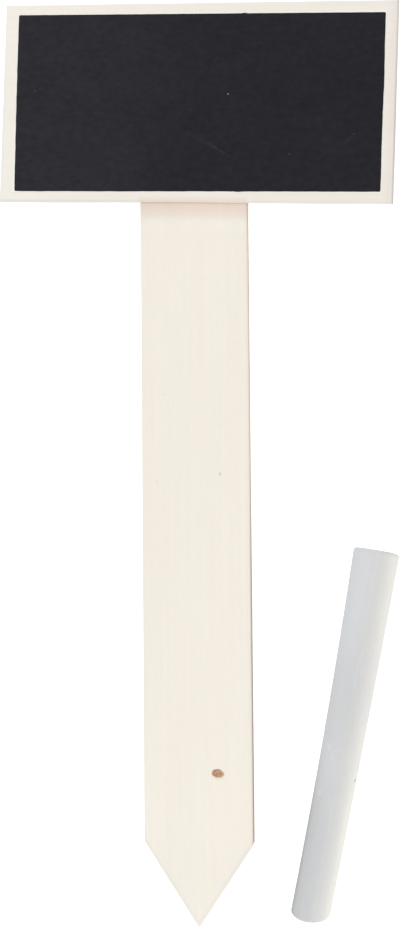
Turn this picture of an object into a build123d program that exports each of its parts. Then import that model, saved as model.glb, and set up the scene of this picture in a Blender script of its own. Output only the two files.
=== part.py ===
"""Plant label: a pointed plywood stake with a small chalkboard glued across its top, and a loose stick of chalk.

Lengths are in millimetres and angles in degrees. The label lies on its back: +Z points out of the board's
face, +Y runs up the stake towards the board, and +X is to the right. The origin is on the stake's back face,
on its centreline, half-way between the tip and the middle of the board's top edge.
"""
import os
from math import atan, cos, radians, sin, tan

from build123d import *

os.makedirs("parts", exist_ok=True)

# Whole label
label_length = 200.0

# Three-ply sheet that both the stake and the board are cut from
face_ply_thickness = 0.6
core_ply_thickness = 1.8

# Stake, with a two-sided point whose tip is a little left of centre
stake_width = 23.7
point_length = 18.4
tip_offset = 0.15
stake_top_inset = 10.0

# Board, glued on a little crooked: its tilt is clockwise, and its offset is to the right
board_width = 86.2
board_height = 43.6
board_tilt = 2.3
board_offset = 1.2

# Black chalkboard paint on the board's face, a little to the right and high on it
coat_width = 80.2
coat_height = 38.7
coat_thickness = 0.1
coat_corner_radius = 0.3
coat_offset = 0.1
coat_rise = 0.05

# Glue between the board and the stake
glue_thickness = 0.15
glue_margin = 1.5

# Chalk stick, cast with a taper that flares towards the thick end. It lies on the same surface as the stake,
# its thick end up and turned away from the stake by the heading.
chalk_length = 79.0
chalk_thin_diameter = 8.3
chalk_middle_diameter = 8.7
chalk_thick_diameter = 9.8
chalk_thin_edge_radius = 0.8
chalk_thick_edge_radius = 0.5
chalk_heading = 11.0
chalk_gap = 7.8
chalk_above_tip = 3.5

# Heights of the layers above the surface that the label lies on
sheet_thickness = 2 * face_ply_thickness + core_ply_thickness
board_back_height = sheet_thickness + glue_thickness
board_front_height = board_back_height + sheet_thickness

# Each ply of the sheet, from back to front: its name, its height in the sheet and its thickness
plies = [
    ("back_ply", 0, face_ply_thickness),
    ("core_ply", face_ply_thickness, core_ply_thickness),
    ("face_ply", face_ply_thickness + core_ply_thickness, face_ply_thickness),
]

# Stake outline: the hidden top end, straight sides down to the shoulders, and the point
stake_top = label_length / 2 - stake_top_inset
tip_level = -label_length / 2
shoulder_level = tip_level + point_length
stake_corners = [
    (-stake_width / 2, stake_top),
    (stake_width / 2, stake_top),
    (stake_width / 2, shoulder_level),
    (-tip_offset, tip_level),
    (-stake_width / 2, shoulder_level),
]

# Directions on the board: across to its right end and up to its top edge
board_across = Vector(cos(radians(board_tilt)), -sin(radians(board_tilt)), 0)
board_up = Vector(sin(radians(board_tilt)), cos(radians(board_tilt)), 0)
board_centre = Vector(board_offset, label_length / 2 - board_height / 2 * board_up.Y, 0)


def board_plane(height, offset=0, rise=0):
    """The plane at a height that faces out of the board, that far to the right of its centre and above it."""
    centre = board_centre + board_across * offset + board_up * rise
    return Plane(origin=(centre.X, centre.Y, height), x_dir=board_across, z_dir=(0, 0, 1))


# Stake plies
for ply_name, ply_height, ply_thickness in plies:
    with BuildPart() as stake_ply:
        with BuildSketch(Plane.XY.offset(ply_height)):
            with BuildLine():
                Polyline(*stake_corners, close=True)
            make_face()
        extrude(amount=ply_thickness)
    stake_ply.part.label = "stake_" + ply_name
    export_step(stake_ply.part, f"parts/{stake_ply.part.label}.step")

# Board plies
for ply_name, ply_height, ply_thickness in plies:
    with BuildPart() as board_ply:
        with BuildSketch(board_plane(board_back_height + ply_height)):
            Rectangle(board_width, board_height)
        extrude(amount=ply_thickness)
    board_ply.part.label = "board_" + ply_name
    export_step(board_ply.part, f"parts/{board_ply.part.label}.step")

# Chalkboard coat: a film of paint on the board's face, its corners rounded as paint flows
with BuildPart() as chalkboard_coat:
    with BuildSketch(board_plane(board_front_height, coat_offset, coat_rise)):
        RectangleRounded(coat_width, coat_height, coat_corner_radius)
    extrude(amount=coat_thickness)
chalkboard_coat.part.label = "chalkboard_coat"
export_step(chalkboard_coat.part, "parts/chalkboard_coat.step")

# Glue film: fills the gap behind the board, inside the overlap by the margin. The overlap starts where the
# board's crooked bottom edge lies highest over the stake, and ends at the stake's top end.
bottom_edge_middle = board_centre - board_up * (board_height / 2)
edge_rise = (stake_width / 2 + abs(bottom_edge_middle.X)) * abs(tan(radians(board_tilt)))
glue_bottom = bottom_edge_middle.Y + edge_rise + glue_margin
glue_top = stake_top - glue_margin
with BuildPart() as glue_film:
    with BuildSketch(Plane.XY.offset(sheet_thickness)):
        with Locations((0, (glue_bottom + glue_top) / 2)):
            Rectangle(stake_width - 2 * glue_margin, glue_top - glue_bottom)
    extrude(amount=glue_thickness)
glue_film.part.label = "glue_film"
export_step(glue_film.part, "parts/glue_film.step")

# Chalk stick: a tapered round bar turned about its own axis. It lies on the rims of both ends, so the axis
# rises from the thin end to the thick end by half the taper's angle.
thin_radius = chalk_thin_diameter / 2
middle_radius = chalk_middle_diameter / 2
thick_radius = chalk_thick_diameter / 2
heading = radians(chalk_heading)
rise = atan((thick_radius - thin_radius) / chalk_length)
thin_end_x = stake_width / 2 + chalk_gap + thin_radius / cos(heading)
thin_end_y = tip_level + chalk_above_tip
chalk_plane = Plane(
    origin=(thin_end_x, thin_end_y, thin_radius * cos(rise)),
    x_dir=(cos(heading), -sin(heading), 0),
    z_dir=(-sin(heading) * sin(rise), -cos(heading) * sin(rise), cos(rise)),
)
with BuildPart() as chalk_stick:
    with BuildSketch(chalk_plane) as half_section:
        with BuildLine():
            side = ThreePointArc((thin_radius, 0), (middle_radius, chalk_length / 2), (thick_radius, chalk_length))
            Polyline(side @ 1, (0, chalk_length), (0, 0), side @ 0)
        make_face()
        fillet(half_section.vertices().group_by(Axis.Y)[-1].sort_by(Axis.X)[-1], chalk_thick_edge_radius)
        fillet(half_section.vertices().group_by(Axis.Y)[0].sort_by(Axis.X)[-1], chalk_thin_edge_radius)
    revolve(axis=Axis(chalk_plane.origin, chalk_plane.y_dir))
chalk_stick.part.label = "chalk_stick"
export_step(chalk_stick.part, "parts/chalk_stick.step")
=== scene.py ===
"""Plant label: a pointed plywood stake, a small chalkboard glued across its top, and a loose stick of chalk.

The label lies on its back on a white floor and is seen from above. Lengths are in millimetres and angles in
degrees, up to the helpers that hand them to Blender in metres and radians.
"""
import math

import bpy
from mathutils import Matrix, Vector, noise


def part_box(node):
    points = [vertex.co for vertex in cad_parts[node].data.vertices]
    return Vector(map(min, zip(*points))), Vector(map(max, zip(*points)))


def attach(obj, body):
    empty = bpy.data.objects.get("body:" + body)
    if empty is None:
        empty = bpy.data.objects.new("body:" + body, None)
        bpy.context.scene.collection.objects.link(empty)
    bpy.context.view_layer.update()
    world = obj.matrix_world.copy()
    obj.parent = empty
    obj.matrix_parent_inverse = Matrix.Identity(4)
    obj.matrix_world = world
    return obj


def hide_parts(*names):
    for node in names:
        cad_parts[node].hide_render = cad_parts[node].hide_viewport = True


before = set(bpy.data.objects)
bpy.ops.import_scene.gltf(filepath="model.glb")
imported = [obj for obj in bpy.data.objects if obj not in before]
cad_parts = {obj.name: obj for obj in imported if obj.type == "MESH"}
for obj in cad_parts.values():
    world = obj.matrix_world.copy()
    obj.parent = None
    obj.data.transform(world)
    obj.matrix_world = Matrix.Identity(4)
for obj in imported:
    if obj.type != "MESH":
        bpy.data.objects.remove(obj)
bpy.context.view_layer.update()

millimetre = 0.001
scene = bpy.context.scene


# Measures from the frame

def node_points(node):
    """A CAD node's vertices."""
    return [vertex.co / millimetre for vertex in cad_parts[node].data.vertices]


def reach(node, direction):
    """How far a CAD node reaches along a direction: lowest and highest."""
    spans = [point.dot(direction) for point in node_points(node)]
    return min(spans), max(spans)


def heights(node):
    """The heights of a CAD node's back and front."""
    low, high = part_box(node)
    return low.z / millimetre, high.z / millimetre


across_table = Vector((1, 0, 0))
along_table = Vector((0, 1, 0))
near_side = 1.0
stake_left, stake_right = reach("stake_face_ply", across_table)
stake_tip, stake_top = reach("stake_face_ply", along_table)
stake_half_width = (stake_right - stake_left) / 2
stake_shoulder = min(point.y for point in node_points("stake_face_ply") if point.x < stake_left + near_side)
tip_x = min(node_points("stake_face_ply"), key=lambda point: point.y).x

# The board is tilted a little clockwise: its top left corner is highest, and its top right furthest right
board_top_left = max(node_points("board_face_ply"), key=lambda point: point.y)
board_top_right = max(node_points("board_face_ply"), key=lambda point: point.x)
board_across = (board_top_right - board_top_left).xy.to_3d().normalized()
board_up = Vector((-board_across.y, board_across.x, 0))
board_turn = math.degrees(math.atan2(board_across.y, board_across.x))
board_left_reach, board_right_reach = reach("board_face_ply", board_across)
board_low_reach, board_high_reach = reach("board_face_ply", board_up)
board_half_width = (board_right_reach - board_left_reach) / 2
board_half_height = (board_high_reach - board_low_reach) / 2
board_middle_across = (board_left_reach + board_right_reach) / 2
board_middle_along = (board_low_reach + board_high_reach) / 2
board_centre = board_across * board_middle_across + board_up * board_middle_along
board_front = heights("board_face_ply")[1]

# The paint's edges, from the board's centre, and its middle
coat_left, coat_right = (edge - board_middle_across for edge in reach("chalkboard_coat", board_across))
coat_low, coat_high = (edge - board_middle_along for edge in reach("chalkboard_coat", board_up))
coat_middle_across = board_middle_across + (coat_left + coat_right) / 2
coat_middle_along = board_middle_along + (coat_low + coat_high) / 2

glue_left, glue_right = reach("glue_film", across_table)
glue_low, glue_high = reach("glue_film", along_table)

# The chalk lies turned clockwise from the stake
chalk_heading = 11.0
chalk_turn = math.radians(chalk_heading)
chalk_side = Vector((math.cos(chalk_turn), -math.sin(chalk_turn), 0))
chalk_along = Vector((math.sin(chalk_turn), math.cos(chalk_turn), 0))
chalk_axis_across = sum(reach("chalk_stick", chalk_side)) / 2
chalk_start, chalk_end = reach("chalk_stick", chalk_along)
chalk_length = chalk_end - chalk_start


# How the real outlines stray from the true ones

# How far the stake's left side stands out and its right side is drawn in, at the shoulders and at the top,
# and how full the point is on either side, at the tip and at the shoulders
stake_left_out = (0.18, -0.08)
stake_right_trim = (0.09, 0.15)
point_fullness = (0.14, 0.33)

# The board was cut a little out of square: how far each edge stands out at one end of it and at the other
board_left_out = (0.02, -0.05)
board_right_out = (-0.12, -0.03)
board_low_out = (0.08, 0.12)
board_high_out = (-0.03, 0.08)

# The saw cut a shallow hollow into its lower edge: where it is deepest, its spread and its depth
board_hollow = (-2.0, 16.0, 0.2)

# The stick's radius at its thin end, middle and thick end
chalk_thin_radius, chalk_middle_radius, chalk_thick_radius = 8.3 / 2, 8.7 / 2, 9.8 / 2

# How each end of the chalk is worn away or stands out along the stick: all over, at its right and at its top
chalk_thin_wear = (0.2, 0.22, -0.9)
chalk_thick_wear = (-0.1, 0.09, 0.0)


# Mesh helpers

sharp_angle = 50


def add_object(name, data):
    """A new object in the scene."""
    made = bpy.data.objects.new(name, data)
    scene.collection.objects.link(made)
    return made


def make_piece(name, body, stands_for, points, faces, finishes, finish_of_face=None):
    """Builds a piece, gives it its materials, and puts it on its body in place of its CAD node."""
    mesh = bpy.data.meshes.new(name)
    mesh.from_pydata([tuple(point * millimetre) for point in points], [], faces)
    for finish in finishes:
        mesh.materials.append(finish)
    if finish_of_face:
        mesh.polygons.foreach_set("material_index", finish_of_face)
    mesh.validate()
    mesh.shade_smooth()
    mesh.set_sharp_from_angle(angle=math.radians(sharp_angle))
    piece = add_object(name, mesh)
    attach(piece, body)
    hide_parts(stands_for)


def between(low, high, share):
    """The value at a share of the way from low to high."""
    return low + (high - low) * share


def bell(value, centre, spread, height):
    """A smooth bump over a centre."""
    return height * math.exp(-((value - centre) / spread) ** 2)


def wave(along, length, seed):
    """A smooth wave between -1 and 1 that repeats nowhere."""
    return noise.noise(Vector((along / length, seed, seed / 3)))


def steps(low, high, size, dense=()):
    """Levels from low to high about size apart, and closer inside each dense stretch (from, to, size)."""
    levels = [low]
    while levels[-1] < high - size / 2:
        here = levels[-1]
        step = min([size] + [fine for start, end, fine in dense if start - fine <= here <= end])
        levels.append(min(here + step, high))
    levels[-1] = high
    return levels


# The eased edge of a slab: how far in its rings of points lie and how far they drop, as shares of the ease
ring_shares = (0, 0.3, 1)
ring_drops = (1, 0.3, 0)
rung_margin = 2.0


def make_slab(
    name, stands_for, outline, rows, columns, reliefs, finishes, ease, wall, wall_steps, sink=0.0
):
    """Builds a flat piece of the label with a wavy outline and eased edges, in place of its CAD node.

    outline is three functions: the point at a place across, along and up, the left and right edge at a level,
    and how far the low and high end are drawn in at a place across. rows are levels along it and columns the
    cells across it. reliefs names the faces that show, "front" or "back", and tells how deep a place on one
    lies under its highest point. The faces have the first finish, and the side has the second one. wall tells
    how far the side is drawn in at a share of its height, and sink lets the back into what is under it.
    """
    place, edges, ends = outline
    bottom, top = heights(stands_for)
    insets = [share * ease for share in ring_shares]
    last_ring = len(insets) - 1
    levels = [rows[0] + inset for inset in insets] + [rows[-1] - inset for inset in insets]
    levels = sorted({*levels, *rows[1:-1]})
    row_count, column_count = len(levels), columns + 1 + 2 * last_ring

    def plan(row, column):
        """The place of a grid point on the slab, as across and along."""
        level = levels[row]
        left, right = edges(level)
        if column < last_ring:
            across = left + insets[column]
        elif column > column_count - 1 - last_ring:
            across = right - insets[column_count - 1 - column]
        else:
            share = (column - last_ring) / columns
            across = left + ease + (right - left - 2 * ease) * share
        low_wave, high_wave = ends(across)
        along_share = (level - levels[0]) / (levels[-1] - levels[0])
        return across, level + low_wave * (1 - along_share) - high_wave * along_share

    plans = [[plan(row, column) for column in range(column_count)] for row in range(row_count)]
    loop = [(0, column) for column in range(column_count)]
    loop += [(row, column_count - 1) for row in range(1, row_count)]
    loop += [(row_count - 1, column) for column in range(column_count - 2, -1, -1)]
    loop += [(row, 0) for row in range(row_count - 2, 0, -1)]
    points, faces, finish_of_face = [], [], []

    def add_face(corners, upwards, finish):
        faces.append(corners if upwards else corners[::-1])
        finish_of_face.append(finish)

    def add_grid(height, upwards, relief):
        """A shown face as a grid. Returns the numbers of the points round its outline."""
        first = len(points)
        sign = 1 if upwards else -1
        for row in range(row_count):
            for column in range(column_count):
                across, along = plans[row][column]
                ring = min(row, column, row_count - 1 - row, column_count - 1 - column)
                depth = ease * ring_drops[min(ring, last_ring)] + (relief(across, along) if ring else 0)
                points.append(place(across, along, height - sign * depth))
        for row in range(row_count - 1):
            for column in range(column_count - 1):
                corner = first + row * column_count + column
                add_face([corner, corner + 1, corner + column_count + 1, corner + column_count], upwards, 0)
        return [first + row * column_count + column for row, column in loop]

    def add_ladder(height, upwards):
        """A hidden flat face as rungs from edge to edge. Returns the numbers of the points round its outline.

        The first and last rung stay clear of the wavy ends by the margin, so no face stands out of the side.
        """
        number = {}
        for row, column in loop:
            number[row, column] = len(points)
            points.append(place(*plans[row][column], height))
        end = column_count - 1
        first = min(row for row in range(row_count) if levels[row] > levels[0] + rung_margin)
        last = max(row for row in range(row_count) if levels[row] < levels[-1] - rung_margin)
        add_face([number[key] for key in loop if key[0] <= first], upwards, 0)
        for row in range(first, last):
            add_face([number[row, 0], number[row, end], number[row + 1, end], number[row + 1, 0]], upwards, 0)
        add_face([number[key] for key in loop if key[0] >= last], upwards, 0)
        return [number[key] for key in loop]

    def add_side(face, height, upwards):
        return add_grid(height, upwards, reliefs[face]) if face in reliefs else add_ladder(height, upwards)

    upper = add_side("front", top, True)
    lower = add_side("back", bottom - sink, False)
    rings = [upper]
    for step in range(1, wall_steps):
        share = step / wall_steps
        ring = []
        for count, (row, column) in enumerate(loop):
            across, along = plans[row][column]
            inset = wall(across, along, share)
            across -= inset * ((column == column_count - 1) - (column == 0))
            along -= inset * ((row == row_count - 1) - (row == 0))
            high, low = points[upper[count]].z, points[lower[count]].z
            ring.append(len(points))
            points.append(place(across, along, high + (low - high) * share))
        rings.append(ring)
    rings.append(lower)
    for above, below in zip(rings, rings[1:]):
        for here in range(len(loop)):
            onward = (here + 1) % len(loop)
            add_face([below[here], below[onward], above[onward], above[here]], True, 1)
    make_piece(name, "label", stands_for, points, faces, finishes, finish_of_face)


# Node helpers

class Signal:
    """An output of a node, on which sums are done with plain operators."""

    def __init__(self, socket):
        self.socket = socket
        self.tree = socket.id_data

    def math(self, operation, other=0.0):
        """A sum on this number, or on it and another."""
        return add_node(self.tree, "ShaderNodeMath", {0: self, 1: other}, operation=operation)

    def vector_math(self, operation, other=(0, 0, 0), output="Vector"):
        """A sum on this vector, or on it and another."""
        return add_node(self.tree, "ShaderNodeVectorMath", {0: self, 1: other}, output, operation=operation)

    def __add__(self, other):
        return self.math("ADD", other)

    def __sub__(self, other):
        return self.math("SUBTRACT", other)

    def __rsub__(self, other):
        return add_node(self.tree, "ShaderNodeMath", {0: other, 1: self}, operation="SUBTRACT")

    def __mul__(self, other):
        return self.math("MULTIPLY", other)

    def __abs__(self):
        return self.math("ABSOLUTE")

    def dot(self, direction):
        return self.vector_math("DOT_PRODUCT", direction, "Value")

    def fade(self, start, end, low=0.0, high=1.0):
        """Goes smoothly from low to high as this number goes from start to end."""
        values = {"Value": self, "From Min": start, "From Max": end, "To Min": low, "To Max": high}
        return add_node(self.tree, "ShaderNodeMapRange", values, "Result", interpolation_type="SMOOTHSTEP")


def add_node(tree, kind, values=None, output=0, **settings):
    """Adds a node, gives its settings and inputs their values or links, and returns one of its outputs."""
    made = tree.nodes.new(kind)
    for setting, value in settings.items():
        setattr(made, setting, value)
    for key, value in (values or {}).items():
        if isinstance(value, Signal):
            tree.links.new(value.socket, made.inputs[key])
        else:
            made.inputs[key].default_value = value
    return Signal(made.outputs[output])


def srgb(red, green, blue):
    """A linear colour from screen values between 0 and 255."""
    def linear(value):
        share = value / 255
        return share / 12.92 if share <= 0.04045 else ((share + 0.055) / 1.055) ** 2.4
    return linear(red), linear(green), linear(blue), 1


def split(vector):
    """A vector's X and Y."""
    x = add_node(vector.tree, "ShaderNodeSeparateXYZ", {0: vector}, "X")
    return x, Signal(x.socket.node.outputs["Y"])


def blend(share, first, second, mode="MIX"):
    """One colour over another."""
    values = {0: share, 6: first, 7: second}
    tree = next(value.tree for value in values.values() if isinstance(value, Signal))
    return add_node(tree, "ShaderNodeMix", values, 2, data_type="RGBA", blend_type=mode)


def stain(colour, distance, mark, strength=1.0):
    """The colour multiplied by a mark's tone, up to a strength, as a distance goes over the mark's span."""
    tone, span = mark
    return blend(distance.fade(*span, 0.0, strength), colour, tone, "MULTIPLY")


def shade(colour, changes):
    """The colour made lighter or darker by noises: each change is (noise, how much it varies the colour)."""
    level = 1.0
    for value, amount in changes:
        level = (value - 0.5) * amount + level
    grey = add_node(level.tree, "ShaderNodeCombineColor", {0: level, 1: level, 2: level})
    return blend(1.0, colour, grey, "MULTIPLY")


def mottle(where, size, detail=2.0):
    """Noise between 0 and 1 whose blotches are about that size in millimetres."""
    shrunk = where.vector_math("MULTIPLY", [1 / length for length in size])
    return add_node(where.tree, "ShaderNodeTexNoise", {"Vector": shrunk, "Scale": 1.0, "Detail": detail})


def spot(where, centre, size, soft):
    """A mask of an ellipse, 1 inside and 0 outside, that fades over the soft share of its size."""
    offset = where.vector_math("SUBTRACT", (*centre, 0))
    scaled = offset.vector_math("MULTIPLY", (1 / size[0], 1 / size[1], 0))
    return scaled.vector_math("LENGTH", output="Value").fade(1, 1 - soft)


class Finish:
    """A material with its shader, and with coordinates in millimetres whose Y runs along the grain."""

    def __init__(self, name, turn=0.0, roughness=0.6, specular=0.3):
        self.material = bpy.data.materials.new(name)
        self.material.use_nodes = True
        self.tree = self.material.node_tree
        self.shader = self.tree.nodes["Principled BSDF"]
        self.shader.inputs["Roughness"].default_value = roughness
        self.shader.inputs["Specular IOR Level"].default_value = specular
        place = add_node(self.tree, "ShaderNodeTexCoord", output="Object")
        values = {"Vector": place, "Rotation": (0, 0, math.radians(turn)), "Scale": (1 / millimetre,) * 3}
        self.where = add_node(self.tree, "ShaderNodeMapping", values, vector_type="POINT")

    def complete(self, colour, height, depth, roughness=None):
        """Links the colour, a fine relief whose height runs from 0 to 1 over the depth, and any roughness."""
        values = {"Strength": 1.0, "Distance": depth * millimetre, "Height": height}
        relief = add_node(self.tree, "ShaderNodeBump", values)
        for key, signal in (("Base Color", colour), ("Roughness", roughness), ("Normal", relief)):
            if signal:
                self.tree.links.new(signal.socket, self.shader.inputs[key])
        return self.material


# Bare wood

warm_tone = srgb(244, 231, 210)
pore_tone = srgb(196, 172, 140)
end_pore_tone = srgb(150, 128, 106)


def wood_face(name, turn, tone, marks=None):
    """Pale veneer with faint streaks, fibres and pores along its grain."""
    finish = Finish(name, turn, specular=0.25)
    where = finish.where
    broad = mottle(where, (9, 60, 9))
    streak = mottle(where, (0.7, 30, 0.7), detail=4)
    fibre = mottle(where, (0.14, 3, 0.14))
    pore = mottle(where, (0.16, 1.5, 0.16), detail=0).fade(0.66, 0.8)
    warmth = mottle(where, (4, 45, 4)).fade(0.35, 0.75, 0, 0.12)
    colour = shade(blend(warmth, tone, warm_tone), [(broad, 0.045), (streak, 0.05), (fibre, 0.04)])
    colour = blend(pore * 0.04, colour, pore_tone)
    if marks:
        colour = marks(where, colour)
    return finish.complete(colour, fibre - pore * 0.8, 0.012, fibre.fade(0.3, 0.7, 0.55, 0.72))


def wood_edge(name, turn, span, near, far, end_grain=False):
    """The sawn side of a ply, from a near to a far screen colour over a span along Y. End grain is pored."""
    finish = Finish(name, turn, roughness=0.75, specular=0.2)
    where = finish.where
    saw = mottle(where, (0.25, 0.25, 2.5), detail=3)
    patch = mottle(where, (3, 6, 3))
    tone = blend(split(where)[1].fade(*span), srgb(*near), srgb(*far))
    colour = shade(tone, [(saw, 0.3), (patch, 0.2)])
    if not end_grain:
        return finish.complete(colour, saw, 0.04)
    pores = mottle(where, (0.16, 0.16, 0.16), detail=1).fade(0.55, 0.75)
    return finish.complete(blend(pores * 0.15, colour, end_pore_tone), saw - pores * 0.3, 0.04)


# Marks on the stake's face

# The pin knot near the point: its centre, half width and half height. Its bark's upper half leans to the left
# for each millimetre up, and the right half droops for each millimetre across
knot_centre = (4.22, -66.85)
knot_size = (1.42, 1.0)
knot_lean = 0.13
knot_droop = 0.18

# The warm wood round it, its bark and its heart: centre from the bark's, half width and height, and softness
bark_centre = (4.22, -66.9)
halo_shape = ((0, -0.45), (1.917, 1.35), 0.8)
bark_shape = ((0, 0), (1.5194, 1.02), 0.25)
heart_shape = ((0.05, -0.1), (1.136, 0.7), 0.45)
halo_tone = srgb(238, 208, 172)
halo_strength = 0.6
bark_tones = (srgb(120, 94, 70), srgb(180, 140, 106))
bark_strength = (-0.6, 1.3, 0.88, 0.6)
heart_tones = (srgb(176, 116, 80), srgb(216, 164, 126))
heart_strength = 0.85

# Fine noise moves the outlines of the knot and the flecks about
ragged_reach = (0.5, 0.35, 0)
ragged_scale = 1.6
stake_flecks = (
    # across, along, radius and strength of the small marks on the stake's face
    (5.25, -2.32, 0.42, 0.6),
    (-8.61, -3.9, 0.5, 0.14),
    (-3.31, -2.44, 0.45, 0.12),
    (2.57, 40.45, 0.4, 0.12),
    (-6.91, 15.08, 0.5, 0.12),
    (5.56, 7.89, 0.45, 0.1),
)
fleck_tone = srgb(168, 156, 138)
fleck_stretch = 1.2

# Marks, each with its tone and the distances where it starts to show and is full. A faint grey line runs
# along the stake's left side, a broader one along the cuts of its point, and a dark one with a warm band
# along its
# right side. The tip is darkened a little: painted shade that tones down the front lamp's light there
left_line = ((0.972, 0.975, 0.99, 1), (0.6, 0.3))
cut_line = ((0.955, 0.958, 0.985, 1), (1.1, 0.5))
right_glow = ((1.0, 0.967, 0.948, 1), (1.0, 0.45))
right_line = ((0.84, 0.835, 0.83, 1), (0.34, 0.12))
tip_shade = ((0.982, 0.982, 0.988, 1), (-76, -90))

# Below the board's lower edge: the warm shadow the board casts, painted; painted light that makes the wood
# nearest it a little paler; and a brown line of painted contact shadow along the edge, fainter at its right
under_board_shadow = ((1.0, 0.905, 0.905, 1), (4.5, -0.4))
under_board_light = ((1.03, 1.045, 1.055, 1), (6.5, 2.5))
contact_shadow = ((0.85, 0.79, 0.75, 1), (-0.3, -0.5))
contact_shadow_strength = (2, 11, 1.0, 0.5)


def knot_marks(where, ragged, colour):
    """The pin knot: warm wood round it, an egg of dark bark that fades to the right, and a streaked heart."""
    from_knot = ragged.vector_math("SUBTRACT", (*bark_centre, 0))
    across, along = split(from_knot)
    drooping = along + across.math("MAXIMUM") * knot_droop
    leaning = across + drooping.math("MAXIMUM") * knot_lean
    egg = add_node(where.tree, "ShaderNodeCombineXYZ", {"X": leaning, "Y": drooping})
    bark = blend(mottle(where, (0.4, 0.3, 0.4)), *bark_tones)
    heart = blend(mottle(where, (0.5, 0.4, 0.5), detail=3).fade(0.4, 0.6), *heart_tones)
    colour = blend(spot(from_knot, *halo_shape) * halo_strength, colour, halo_tone)
    colour = blend(spot(egg, *bark_shape) * across.fade(*bark_strength), colour, bark)
    return blend(spot(egg, *heart_shape) * heart_strength, colour, heart)


def inside_cuts(where):
    """How far inside the nearer cut of the point a place on the stake lies."""
    distances = []
    for sign, shoulder_x in ((-1, stake_left), (1, stake_right)):
        start = Vector((tip_x + sign * point_fullness[0], stake_tip, 0))
        end = Vector((shoulder_x + sign * point_fullness[1], stake_shoulder, 0))
        along_cut = (end - start).normalized()
        inwards = (-sign * along_cut.y, sign * along_cut.x, 0)
        distances.append(where.vector_math("SUBTRACT", start).dot(inwards))
    return distances[0].math("MINIMUM", distances[1])


def below_board(where):
    """How far below the board's lower edge, with its hollow, a place on the stake lies."""
    deepest, spread, depth = board_hollow
    share = (where.dot(board_across) - (board_middle_across + deepest)) * (1 / spread)
    hollow = (share * share * -1.0).math("EXPONENT") * depth
    return hollow + (board_low_reach - sum(board_low_out) / 2) - where.dot(board_up)


def stake_marks(where, colour):
    """The knot, the flecks, the outline's lines, painted shade at the tip and painted shadow and light below
    the board.
    """
    values = {"Vector": where, "Scale": ragged_scale, "Detail": 3.0}
    stray = add_node(where.tree, "ShaderNodeTexNoise", values, "Color")
    centred = stray.vector_math("SUBTRACT", (0.5, 0.5, 0.5))
    ragged = where.vector_math("ADD", centred.vector_math("MULTIPLY", ragged_reach))
    colour = knot_marks(where, ragged, colour)
    for across, along, radius, strength in stake_flecks:
        fleck = spot(ragged, (across, along), (radius, radius * fleck_stretch), 1.0)
        colour = blend(fleck * strength, colour, fleck_tone)
    side, level = split(where)
    from_right = (stake_right - sum(stake_right_trim) / 2) - side
    below = below_board(where)
    for distance, mark in (
        (side - (stake_left - stake_left_out[0]), left_line),
        (inside_cuts(where), cut_line),
        (from_right, right_glow),
        (from_right, right_line),
        # Painted shade at the tip
        (level, tip_shade),
        # Painted shadow under the board, and painted light that softens it
        (below, under_board_shadow),
        (below, under_board_light),
    ):
        colour = stain(colour, distance, mark)
    # Painted contact shadow along the board's lower edge
    return stain(colour, below, contact_shadow, side.fade(*contact_shadow_strength))


# Marks on the board's face

# It darkens from its left end to its right end: painted shade, for light that falls off across it
board_falloff_tones = ((1.015, 1.02, 1.02, 1), (0.976, 0.973, 0.973, 1))

# Its right end is dusky, and brown along the very edge, most of all lower down. Its left
# end has a faint cool line
dusk = ((0.955, 0.945, 0.955, 1), (2.8, 0.5))
right_edge_line = ((0.61, 0.59, 0.62, 1), (0.75, 0.15))
right_edge_line_strength = (0.72, 1.0)
left_end = ((0.955, 0.975, 1.0, 1), (0.8, 0.5))

# A faint grubby patch on its lower border, in the turned coordinates of its material
grubby_centre = (-board_low_reach - 1.5, board_left_reach + 22.2)
grubby_size = (4, 30)
grubby_tone = (0.975, 0.965, 0.96, 1)

# Its lower edge is darker, most of all at its left, and warm over the stake: painted shade tinted by light
# bounced off the stake's wood
low_edge = ((0.88, 0.905, 0.935, 1), (0.7, 0.3))
low_edge_strength = (0.25, 1.0)
warm_bounce = ((0.965, 0.925, 0.865, 1), (1.5, 0.5))
warm_bounce_soft = 0.4
stake_on_board = Vector(((stake_left + stake_right) / 2, board_low_reach, 0)).dot(board_across)

# Chalk dust lies along the outside of the paint, less of it beside the paint's left and right side
dust = ((1.09, 1.12, 1.14, 1), (0.4, 0.15))
dust_at_sides = 0.45
dust_turn = 0.5


def board_marks(where, colour):
    """The marks on the board's face. Its material is turned: X runs down the board and Y across it."""
    down, across = split(where)
    # Painted shade, darker towards the right end
    falloff_tone = blend(across.fade(board_left_reach, board_right_reach), *board_falloff_tones)
    colour = blend(1.0, colour, falloff_tone, "MULTIPLY")
    colour = blend(spot(where, grubby_centre, grubby_size, 1.0), colour, grubby_tone, "MULTIPLY")
    off_stake = abs(across - stake_on_board)
    over_stake = off_stake.fade(stake_half_width + warm_bounce_soft, stake_half_width - warm_bounce_soft)
    from_right, from_low = board_right_reach - across, -board_low_reach - down
    aside = abs(across - coat_middle_across) - (coat_right - coat_left) / 2
    above = abs(down + coat_middle_along) - (coat_high - coat_low) / 2
    for distance, mark, strength in (
        (from_right, dusk, 1.0),
        (from_right, right_edge_line, down.fade(-board_high_reach, -board_low_reach, *right_edge_line_strength)),
        (across - board_left_reach, left_end, 1.0),
        (from_low, low_edge, across.fade(board_right_reach, board_left_reach, *low_edge_strength)),
        # Painted shade tinted warm by light bounced off the stake
        (from_low, warm_bounce, over_stake),
        (above.math("MAXIMUM", aside), dust, (above - aside).fade(-dust_turn, dust_turn, dust_at_sides, 1.0)),
    ):
        colour = stain(colour, distance, mark, strength)
    return colour


# Paint, chalk and glue

# Painted shade: the paint darkens towards the board's right end, for light that falls off across it. Its
# tones at the left and right, and the span across the board between them
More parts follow.
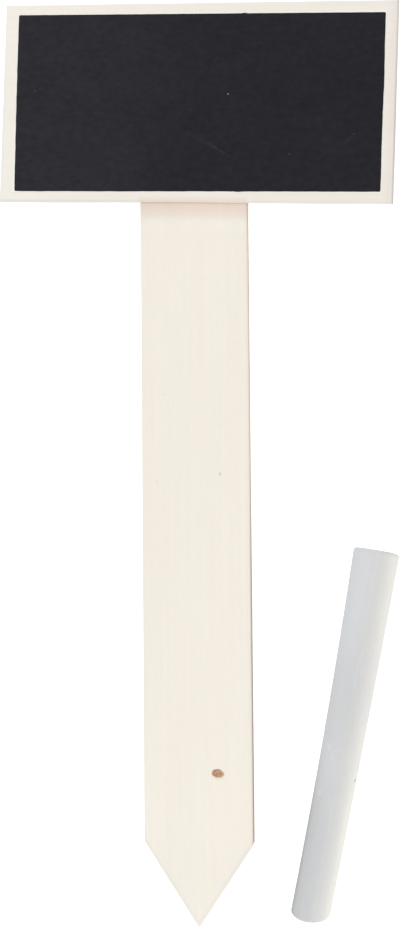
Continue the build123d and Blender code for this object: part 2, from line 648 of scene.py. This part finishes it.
paint_falloff_tones = (srgb(35.2, 34.1, 40.7), srgb(28.9, 27.9, 34.3))
paint_falloff_span = (-44, 10)
speck_tone = srgb(190, 188, 192)
coat_specks = (
    # across and along from the paint's middle, size and strength of the specks of chalk dust
    (6.77, 1.73, 0.32, 0.4),
    (-35.99, 2.61, 0.32, 0.07),
    (2.16, 9.82, 0.32, 0.035),
    (-1.2, -1.72, 0.32, 0.03),
    (2.37, -4.13, 0.32, 0.02),
    (-27.95, -2.72, 0.32, 0.02),
    (20.36, -11.3, 0.4, 0.04),
    (34.13, -7.0, 0.36, 0.05),
    (21.74, -0.07, 0.32, 0.02),
    (27.36, -1.39, 0.32, 0.02),
)
scratch_tone = srgb(150, 148, 152)
coat_scratches = (
    # start and end from the paint's middle, the half width, and the strength at the end
    ((-2.05, -6.4), (4.9, -10.3), 0.8, 0.03),
    ((9.0, -12.5), (3.7, -9.65), 0.32, 0.06),
    ((31.03, -10.22), (34.13, -7.0), 0.3, 0.03),
)


def scratch(where, start, end, half_width, strength):
    """A mask of a straight scratch, fainter here and there, that deepens from its start to its end."""
    run = Vector(end) - Vector(start)
    direction = run.normalized()
    from_start = where.vector_math("SUBTRACT", (-start[1], start[0], 0))
    along = from_start.dot((-direction.y, direction.x, 0))
    aside = abs(from_start.dot((direction.x, direction.y, 0)))
    begun = along.fade(-0.2, 0.6)
    not_ended = along.fade(run.length + 0.2, run.length - 0.6)
    depth = along.fade(0.0, run.length * 0.8, 0.35 * strength, strength)
    unevenness = mottle(where, (0.9, 0.9, 0.9)).fade(0.38, 0.58, 0.35, 1.0)
    return aside.fade(half_width, 0.0) * begun * not_ended * depth * unevenness


def chalkboard_paint(name, turn):
    """Matt black paint over wood, darker to the right by painted shade: fine lines of grain, and smudges,
    specks and scratches of chalk.
    """
    finish = Finish(name, turn, specular=0.15)
    where = finish.where
    line = mottle(where, (0.35, 16, 0.35), detail=3)
    cloud = mottle(where, (14, 22, 14))
    smudge = mottle(where, (1.1, 1.6, 1.1))
    grit = mottle(where, (0.12, 0.14, 0.12), detail=1)
    # Painted shade, darker to the right
    tone = blend(split(where)[1].fade(*paint_falloff_span), *paint_falloff_tones)
    colour = shade(tone, [(line, 0.45), (cloud, 0.8), (smudge, 0.9), (grit, 0.3)])
    from_centre = where.vector_math("SUBTRACT", (-coat_middle_along, coat_middle_across, 0))
    for across, along, size, strength in coat_specks:
        colour = blend(spot(from_centre, (-along, across), (size, size), 1.0) * strength, colour, speck_tone)
    for each in coat_scratches:
        colour = blend(scratch(from_centre, *each), colour, scratch_tone)
    return finish.complete(colour, line + grit * 0.4, 0.03, line.fade(0.3, 0.7, 0.5, 0.7))


# Painted shade and light: the chalk's left side is a cooler grey than its right, and darker low down than
# high up.
# Its left side's tone low down and high up, the levels between which it changes, and its right side's tone
chalk_shaded_left_tones = (srgb(211.5, 214, 217), srgb(217, 220, 223))
chalk_upper = (-50, -30)
chalk_lit_right_tone = srgb(217, 216, 213)

# Patches of another tone, each with its strength: a band of painted shade at the right of its top, a dull
# stretch, and in its low part painted shade on its left side, a painted highlight along its right side and a
# painted shadow along its left rim, and painted shadow at its thin end
chalk_belly_shade = (0.6, srgb(207, 207, 206))
chalk_dull = (0.5, srgb(205, 205, 206))
chalk_dull_centre = (chalk_axis_across + 1.0, -40)
chalk_dull_size = (8, 18)
chalk_low_part = (-54, -72)
chalk_left_shade = (0.85, srgb(199, 201, 202))
chalk_right_highlight = (0.3, srgb(228, 226, 218))
chalk_rim_shadow = (0.85, srgb(180, 182, 183))
chalk_end_shadow = (0.6, srgb(176, 178, 178))
scuff_strength = 0.2
scuff_tone = srgb(224, 226, 228)


def on_chalk(x, y):
    """A place on the table as across and along the chalk, the way its material is turned."""
    point = Vector((x, y, 0))
    return point.dot(chalk_side), point.dot(chalk_along)


mark_tone = srgb(228, 230, 232)
mark_stretch = 1.4
mark_soft = 0.8
chalk_marks = (
    # place, size, strength and tone: a dark grain and three pale scuffs
    (on_chalk(33.74, -67.44), 0.3, 0.65, srgb(156, 146, 142)),
    (on_chalk(28.4, -60.24), 0.7, 0.35, mark_tone),
    (on_chalk(29.22, -62.33), 0.5, 0.3, mark_tone),
    (on_chalk(26.4, -69.92), 0.6, 0.3, mark_tone),
)


def chalk_finish(name, turn):
    """Dry white chalk, a little mottled, with scuffs along it, and painted shade, highlight and shadow, most
    of all low down.
    """
    finish = Finish(name, turn, roughness=0.9, specular=0.1)
    where = finish.where
    mottled = mottle(where, (2.5, 5, 2.5), detail=3)
    powder = mottle(where, (0.25, 0.3, 0.25), detail=3)
    scuff = mottle(where, (1.2, 9, 1.2), detail=4).fade(0.58, 0.72)
    across, along = split(where)
    side, radius = across - chalk_axis_across, chalk_thin_radius
    low_part = along.fade(*chalk_low_part)
    overall, to_right, to_top = chalk_thin_wear
    end_middle = (chalk_axis_across, chalk_start + overall, radius)
    from_end = where.vector_math("SUBTRACT", end_middle).dot((-to_right / radius, 1, -to_top / radius))
    # Painted shade and light across the stick: cooler and darker on its left, warmer on its right
    shaded_left_tone = blend(along.fade(*chalk_upper), *chalk_shaded_left_tones)
    colour = blend(side.fade(-radius, radius), shaded_left_tone, chalk_lit_right_tone)
    # Patches of painted shade, highlight and shadow, and a dull stretch
    for mask, (strength, tone) in (
        (side.fade(0, 0.35 * radius) * side.fade(radius, 0.5 * radius), chalk_belly_shade),
        (spot(where, chalk_dull_centre, chalk_dull_size, 1.0), chalk_dull),
        (low_part * side.fade(radius, -radius), chalk_left_shade),
        (low_part * side.fade(radius - 1.6, radius - 0.2), chalk_right_highlight),
        (low_part * side.fade(0.9 - radius, -radius), chalk_rim_shadow),
        (from_end.fade(0.5, 0.1) * side.fade(1.0, -1.0), chalk_end_shadow),
    ):
        colour = blend(mask * strength, colour, tone)
    colour = shade(colour, [(mottled, 0.04), (powder, 0.05)])
    colour = blend(scuff * scuff_strength, colour, scuff_tone)
    for place, size, strength, tone in chalk_marks:
        colour = blend(spot(where, place, (size, size * mark_stretch), mark_soft) * strength, colour, tone)
    return finish.complete(colour, powder + mottled * 0.5, 0.05)


def glue_finish(name):
    """Dried wood glue, amber and a little glossy."""
    finish = Finish(name, roughness=0.35, specular=0.5)
    cloud = mottle(finish.where, (1.5, 1.5, 1.5), detail=3)
    return finish.complete(shade(srgb(222, 200, 158), [(cloud, 0.2)]), cloud, 0.05)


# The finishes. The grain of the stake runs along it, and the board's across the label
stake_tone = srgb(246, 240, 229)
stake_span = (60, -20)
stake_wood = wood_face("stake_veneer", 0, stake_tone, stake_marks)
stake_back_wood = wood_face("stake_back_veneer", 0, stake_tone)
stake_edge = wood_edge("stake_edge", 0, stake_span, (205, 195, 182), (192, 180, 168))
stake_core_edge = wood_edge("stake_core_edge", 0, stake_span, (199, 188, 174), (180, 168, 157), True)

across_label = 90 - board_turn
board_span = (-40, 40)
board_wood = wood_face("board_veneer", across_label, srgb(245.7, 240.1, 231), board_marks)
board_edge = wood_edge("board_edge", across_label, board_span, (237, 231, 223), (237, 232, 226))
board_core_edge = wood_edge(
    "board_core_edge", across_label, board_span, (238, 232, 223), (238, 233, 226), end_grain=True)
# The back ply's side is a little darker: painted shade of its lower, shadowed side where it meets what is
# under it
board_back_shaded_edge = wood_edge("board_back_shaded_edge", across_label, board_span, (226, 219, 210), (228, 222, 215))
paint = chalkboard_paint("chalkboard_paint", across_label)
chalk_white = chalk_finish("chalk", chalk_heading)
glue = glue_finish("wood_glue")


# Stake

# How far a sawn edge wanders, in waves of (share, length, shift of the seed), and how rough a sawn side is
edge_wave = 0.06
edge_swings = ((0.45, 14, 0), (0.3, 2.6, 7))
side_grain = 2.2
side_roughness = 0.8
arris = 0.12
veneer_recess = 0.01
core_recess = 0.03
tip_half_width = 0.08

# The relief of bare wood: the width, length and depth of its fibres and pores
fibre_size = (0.35, 16)
fibre_depth = 0.012
pore_size = (0.22, 2.4)
pore_depth = 0.03
pore_floor = 0.4

# The groove round the knot, and its sunken heart: where and how wide as shares of the knot, and how deep
groove = (0.95, 0.16, 0.07)
heart_depth = 0.03


def inset_wave(along, seed):
    """How far a cut edge lies inside its true line."""
    swing = 0.5 + sum(share * wave(along, length, seed + shift) for share, length, shift in edge_swings)
    return edge_wave * min(max(swing, 0), 1)


def side_wall(recess, seed):
    """Makes a rough cut side, drawn in by about the recess."""
    def inset(across, along, share):
        rough = noise.noise(Vector((across * side_grain, along * side_grain, share * 3 + seed)))
        return recess * (1 + side_roughness * rough)
    return inset


def grain(seed, turned=False):
    """Makes a veneer's relief: how deep a place lies under the highest fibres, which if turned run across."""
    def relief(across, along):
        if turned:
            across, along = along, across
        fibre = noise.noise(Vector((across / fibre_size[0], along / fibre_size[1], seed)))
        pore = noise.noise(Vector((across / pore_size[0], along / pore_size[1], seed + 9)))
        return fibre_depth * (0.5 + 0.5 * fibre) + pore_depth * max(0, pore - pore_floor)
    return relief


stake_grain = grain(3)


def knot_relief(across, along):
    """A shallow groove round the knot, and its heart a little sunk."""
    distance = math.hypot((across - knot_centre[0]) / knot_size[0], (along - knot_centre[1]) / knot_size[1])
    return bell(distance, *groove) + heart_depth * max(0, 1 - distance ** 2)


def stake_relief(across, along):
    return stake_grain(across, along) + knot_relief(across, along)


def on_stake(across, along, height):
    """A point from its place on the stake."""
    return Vector((across, along, height))


def stake_edges(level):
    """The stake's left and right edge at a level: a little narrow on its right, and with a full point."""
    share = (level - stake_tip) / (stake_shoulder - stake_tip)
    fullness = between(*point_fullness, share)
    half_left = max((tip_x - stake_left) * share, tip_half_width) + fullness
    half_right = max((stake_right - tip_x) * share, tip_half_width) + fullness
    height_share = (level - stake_shoulder) / (stake_top - stake_shoulder)
    left = max(tip_x - half_left, stake_left - between(*stake_left_out, height_share))
    right = min(tip_x + half_right, stake_right - between(*stake_right_trim, height_share))
    room = min(1, (right - left) / stake_half_width)
    return left + room * inset_wave(level, 1), right - room * inset_wave(level, 2)


def straight_ends(across):
    return 0, 0


def make_plies(sheet, outline, span, plies):
    """Builds the plies of the stake or the board. The core's side is rougher and lies a little further in."""
    for layer, rows, columns, reliefs, finishes, seed in plies:
        core = layer == "core"
        make_slab(
            f"{sheet}_{layer}_veneer", f"{sheet}_{layer}_ply",
            outline, steps(*span, *rows), columns, reliefs, finishes, arris,
            side_wall(core_recess if core else veneer_recess, seed), 6 if core else 3)


knot_window = (knot_centre[1] - 2.4, knot_centre[1] + 2.4, 0.14)
make_plies("stake", (on_stake, stake_edges, straight_ends), (stake_tip, stake_top), (
    # layer, height of the rows and where they are denser, columns, reliefs, finishes and seed
    ("face", (0.6, [knot_window]), 150, {"front": stake_relief}, [stake_wood, stake_edge], 1),
    ("core", (1.0,), 40, {}, [stake_back_wood, stake_core_edge], 2),
    ("back", (1.0,), 76, {"back": grain(4)}, [stake_back_wood, stake_edge], 3),
))


# Board

# The lower side was sawn at a slant: how far it is drawn in for each millimetre of depth, and how far up the
# board that tells in the cells of its mesh
board_slant = 0.17
board_slant_reach = 4.0


def on_board(across, along, height):
    """A point from its place on the board, measured from the board's centre."""
    return board_centre + board_across * across + board_up * along + Vector((0, 0, height))


def on_sawn_board(across, along, height):
    """A point on the board, moved by the slant of its lower side."""
    nearness = max(0, 1 - (along + board_half_height) / board_slant_reach)
    return on_board(across, along + board_slant * (board_front - height) * min(nearness, 1), height)


def board_edges(level):
    share = (level + board_half_height) / (2 * board_half_height)
    left = -board_half_width - between(*board_left_out, share) + inset_wave(level, 11)
    right = board_half_width + between(*board_right_out, share) - inset_wave(level, 12)
    return left, right


def board_ends(across):
    share = (across + board_half_width) / (2 * board_half_width)
    low = inset_wave(across, 13) - between(*board_low_out, share) + bell(across, *board_hollow)
    high = inset_wave(across, 14) - between(*board_high_out, share)
    return low, high


board_grain = grain(15, turned=True)
make_plies("board", (on_sawn_board, board_edges, board_ends), (-board_half_height, board_half_height), (
    ("face", (0.15,), 120, {"front": board_grain}, [board_wood, board_edge], 4),
    ("core", (0.4,), 120, {}, [board_wood, board_core_edge], 5),
    ("back", (0.4,), 90, {"back": grain(16, turned=True)}, [board_wood, board_back_shaded_edge], 6),
))


# Chalkboard coat

coat_wave = 0.05
coat_wave_length = 2.2
coat_high_wave_length = 2.4
coat_corner = 0.3
coat_ease = 0.05
coat_sink = 0.05

# How far each edge of the paint strays at its low or left end and at the other, and the bow of its left edge.
# Where its right edge swells and the high and low ones have drips, and the spread and size of that
coat_left_lean = (0.20, -0.08)
coat_left_bow = 0.26
coat_right_lean = (-0.03, 0.06)
coat_right_swell = (5.2, 4, 0.1)
coat_low_lean = (-0.15, 0.0)
coat_high_lean = (-0.10, 0.18)
high_drip = (10.03, 0.45, 0.14)
low_drip = (9.61, 0.45, 0.12)


def corner_round(distance):
    """How far a rounded corner draws an edge in at a distance from the next edge."""
    if distance >= coat_corner:
        return 0
    return coat_corner - math.sqrt(coat_corner ** 2 - (coat_corner - distance) ** 2)


def coat_edges(level):
    rounding = corner_round(max(min(level - coat_low, coat_high - level), 0))
    share = (level - coat_low) / (coat_high - coat_low)
    left_lean = between(*coat_left_lean, share) - coat_left_bow * share * (1 - share)
    right_lean = between(*coat_right_lean, share) + bell(level, *coat_right_swell)
    left = coat_left + left_lean + rounding + coat_wave * wave(level, coat_wave_length, 21)
    right = coat_right + right_lean - rounding + coat_wave * wave(level, coat_wave_length, 22)
    return left, right


def coat_ends(across):
    share = (across - coat_left) / (coat_right - coat_left)
    low = between(*coat_low_lean, share) + coat_wave * wave(across, coat_wave_length, 23)
    high = between(*coat_high_lean, share) + 0.5 * coat_wave * wave(across, coat_high_wave_length, 24)
    return low - bell(across, *low_drip), high - bell(across, *high_drip)


def coat_relief(across, along):
    """The paint half fills the grain under it, and is a little uneven itself."""
    unevenness = 1 + noise.noise(Vector((across / 0.8, along / 0.8, 25)))
    return 0.6 * board_grain(across, along) + 0.006 * unevenness


# A row close to each end carries the rounded corners
coat_end_row = 0.07
coat_rows = sorted(steps(coat_low, coat_high, 0.15) + [coat_low + coat_end_row, coat_high - coat_end_row])
make_slab(
    "chalkboard_paint", "chalkboard_coat", (on_board, coat_edges, coat_ends),
    coat_rows, 130, {"front": coat_relief}, [paint, paint], coat_ease, side_wall(0, 26), 2, coat_sink)


# Glue

glue_spread = 0.7
glue_wave_length = 4
glue_ease = 0.02
glue_recess = 0.05


def glue_edges(level):
    left = glue_left - glue_spread * wave(level, glue_wave_length, 31)
    return left, glue_right + glue_spread * wave(level, glue_wave_length, 32)


def glue_ends(across):
    return tuple(glue_spread * wave(across, glue_wave_length, seed) for seed in (33, 34))


make_slab(
    "glue_line", "glue_film", (on_stake, glue_edges, glue_ends),
    steps(glue_low, glue_high, 0.4), 50, {}, [glue, glue], glue_ease, side_wall(glue_recess, 35), 3)


# Chalk

# The stick is a little bowed and off its axis, and a trifle wider than it is high
chalk_bow = 0.28
chalk_shift = -0.06
chalk_oval = 1.0045

# The rounding of each end's rim, at the stick's left and at its right
chalk_thin_rounding = (0.55, 1.1)
chalk_thick_rounding = (0.65, 0.85)
chalk_wear_reach = 9.0

# Casting marks and pits in its skin: their size and depth
cast_size = 3.5
cast_depth = 0.012
pit_size = 0.7
pit_depth = 0.15
pit_floor = 0.45
pit_offset = Vector((5, 5, 5))

chalk_around = 128
chalk_rings = 340
rim_rings = 8
flat_rings = 10


def chalk_radius(share):
    """The stick's radius at a share of its length: a hollow taper that flares towards the thick end."""
    hollow = (chalk_thin_radius + chalk_thick_radius) / 2 - chalk_middle_radius
    return between(chalk_thin_radius, chalk_thick_radius, share) - 4 * hollow * share * (1 - share)


def chalk_profile(to_right):
    """Pairs of (distance along, radius) on the stick's skin, from the thin end's middle to the thick end's.

    to_right goes from 0 at the stick's left side to 1 at its right side.
    """
    thin_rounding = between(*chalk_thin_rounding, to_right)
    thick_rounding = between(*chalk_thick_rounding, to_right)
    low, high = thin_rounding, chalk_length - thick_rounding
    thin_flat, thick_flat = chalk_thin_radius - thin_rounding, chalk_thick_radius - thick_rounding
    angles = [math.pi / 2 * count / rim_rings for count in range(rim_rings + 1)]
    pairs = [(0, thin_flat * count / flat_rings) for count in range(flat_rings)]
    for angle in angles:
        pairs.append((thin_rounding * (1 - math.cos(angle)), thin_flat + thin_rounding * math.sin(angle)))
    for count in range(1, chalk_rings):
        level = between(low, high, count / chalk_rings)
        pairs.append((level, chalk_radius(level / chalk_length)))
    for angle in angles:
        pairs.append((high + thick_rounding * math.sin(angle), thick_flat + thick_rounding * math.cos(angle)))
    pairs += [(chalk_length, thick_flat * (1 - count / flat_rings)) for count in range(1, flat_rings)]
    return pairs


def end_wear(level, across, up):
    """How far a place on the stick is shifted along it by the wear of the nearer end."""
    shift = 0
    for distance, radius, (overall, right, top) in (
        (level, chalk_thin_radius, chalk_thin_wear),
        (chalk_length - level, chalk_thick_radius, chalk_thick_wear),
    ):
        share = max(0, 1 - distance / chalk_wear_reach) ** 2
        shift += share * (overall + right * across / radius + top * up / radius)
    return shift


def chalk_wear(level, angle, radius):
    """How deep casting marks and pits go at a place on the chalk."""
    place = Vector((math.cos(angle) * radius, math.sin(angle) * radius, level))
    pit = max(0, noise.noise(place / pit_size + pit_offset) - pit_floor)
    return cast_depth * (1 + noise.noise(place / cast_size)) + pit_depth * pit


def make_chalk():
    """The stick of chalk: rings of points along it, each end closed by a small flat face."""
    points = []
    angles = [2 * math.pi * count / chalk_around for count in range(chalk_around)]
    profiles = [chalk_profile((1 + math.cos(angle)) / 2) for angle in angles]
    ring_count = len(profiles[0])
    smallest = 0.02
    for ring in range(ring_count):
        for angle, profile in zip(angles, profiles):
            level, radius = profile[ring]
            share = level / chalk_length
            worn = max(radius - chalk_wear(level, angle, radius), smallest)
            across, up = worn * math.cos(angle), worn * math.sin(angle)
            bow = 4 * chalk_bow * share * (1 - share)
            points.append(
                chalk_along * (chalk_start + level + end_wear(level, across, up))
                + chalk_side * (chalk_axis_across + chalk_shift + bow + across * chalk_oval)
                + Vector((0, 0, chalk_radius(share) + up))
            )
    faces = []
    for ring in range(ring_count - 1):
        here, there = ring * chalk_around, (ring + 1) * chalk_around
        for count in range(chalk_around):
            onward = (count + 1) % chalk_around
            faces.append([here + count, here + onward, there + onward, there + count])
    faces.append(list(range(chalk_around))[::-1])
    last = (ring_count - 1) * chalk_around
    faces.append([last + count for count in range(chalk_around)])
    make_piece("chalk", "chalk", "chalk_stick", points, faces, [chalk_white])


make_chalk()


# Floor, lamps and camera

white = (1, 1, 1, 1)
floor_half_width = 3000
floor_gap = 0.03
floor_grey = (0.88, 0.88, 0.88, 1)
floor_lift = 0.62
dome_level = 0.81


def seen_directly(tree):
    """1 for what the camera sees directly, in a reflection or through glass."""
    path = tree.nodes.new("ShaderNodeLightPath")
    shown = Signal(path.outputs["Is Camera Ray"]).math("MAXIMUM", Signal(path.outputs["Is Glossy Ray"]))
    return shown.math("MAXIMUM", Signal(path.outputs["Is Transmission Ray"]))


def make_floor():
    """A white floor that lights itself a little where it is seen directly, and keeps its deeper shadows."""
    mesh = bpy.data.meshes.new("floor")
    half, depth = floor_half_width * millimetre, floor_gap * millimetre
    corners = [(x * half, y * half, -depth) for x, y in ((-1, -1), (1, -1), (1, 1), (-1, 1))]
    mesh.from_pydata(corners, [], [(0, 1, 2, 3)])
    floor = add_object("floor", mesh)
    material = bpy.data.materials.new("floor")
    material.use_nodes = True
    tree = material.node_tree
    shader = tree.nodes["Principled BSDF"]
    shader.inputs["Base Color"].default_value = floor_grey
    shader.inputs["Roughness"].default_value = 0.9
    shader.inputs["Specular IOR Level"].default_value = 0
    lift = seen_directly(tree) * floor_lift
    glow = add_node(tree, "ShaderNodeEmission", {"Color": white, "Strength": lift})
    total = add_node(tree, "ShaderNodeAddShader", {0: Signal(shader.outputs[0]), 1: glow})
    tree.links.new(total.socket, tree.nodes["Material Output"].inputs["Surface"])
    mesh.materials.append(material)


def make_world():
    """A soft even light all round, plain white where it is seen directly."""
    world = bpy.data.worlds.new("studio")
    scene.world = world
    world.use_nodes = True
    tree = world.node_tree
    tree.nodes.clear()
    soft = add_node(tree, "ShaderNodeBackground", {"Color": white, "Strength": dome_level})
    plain = add_node(tree, "ShaderNodeBackground", {"Color": white, "Strength": 1.0})
    mixed = add_node(tree, "ShaderNodeMixShader", {0: seen_directly(tree), 1: soft, 2: plain})
    output = tree.nodes.new("ShaderNodeOutputWorld")
    tree.links.new(mixed.socket, output.inputs["Surface"])


def make_lamp(name, place, aim, width, height, level, tint=(1, 1, 1)):
    """A soft lamp. The level is how bright white paper at the aim, turned to the lamp, gets from it."""
    lamp = bpy.data.lights.new(name, "AREA")
    lamp.shape = "RECTANGLE"
    lamp.size = width * millimetre
    lamp.size_y = height * millimetre
    lamp.color = tint
    distance = (place - aim).length * millimetre
    lamp.energy = level * math.pi ** 2 * distance ** 2
    holder = add_object(name, lamp)
    holder.location = place * millimetre
    holder.rotation_euler = (place - aim).to_track_quat("Z", "Y").to_euler()
    holder.visible_camera = False


make_floor()
make_world()
make_lamp("upper_left_lamp", Vector((-700, 940, 840)), Vector((0, 20, 0)), 560, 560, 0.18)
make_lamp("front_lamp", Vector((60, -400, 150)), Vector((0, 0, 0)), 300, 120, 0.18)
make_lamp("right_lamp", Vector((330, -80, 14)), Vector((32, -60, 4)), 260, 22, 0.37, (1, 0.96, 0.88))

photo_height = 926
focal_length_pixels = 1500
sensor = 36.0
camera_aim = Vector((0.49, 0.21, 0))
camera_distance = 329.09
camera_turns = (("Y", 7.604), ("X", 1.597), ("Z", -0.503))
camera_clip_start = 10


def make_camera():
    """The camera, placed and turned as the photograph's was."""
    camera = bpy.data.cameras.new("camera")
    camera.sensor_width = sensor
    camera.lens = sensor * focal_length_pixels / photo_height
    camera.clip_start = camera_clip_start * millimetre
    turn = Matrix.Identity(3)
    for axis, angle in camera_turns:
        turn = turn @ Matrix.Rotation(math.radians(angle), 3, axis)
    holder = add_object("camera", camera)
    holder.rotation_euler = turn.to_euler()
    holder.location = (camera_aim + turn @ Vector((0, 0, camera_distance))) * millimetre
    scene.camera = holder


make_camera()
scene.view_settings.view_transform = "Standard"
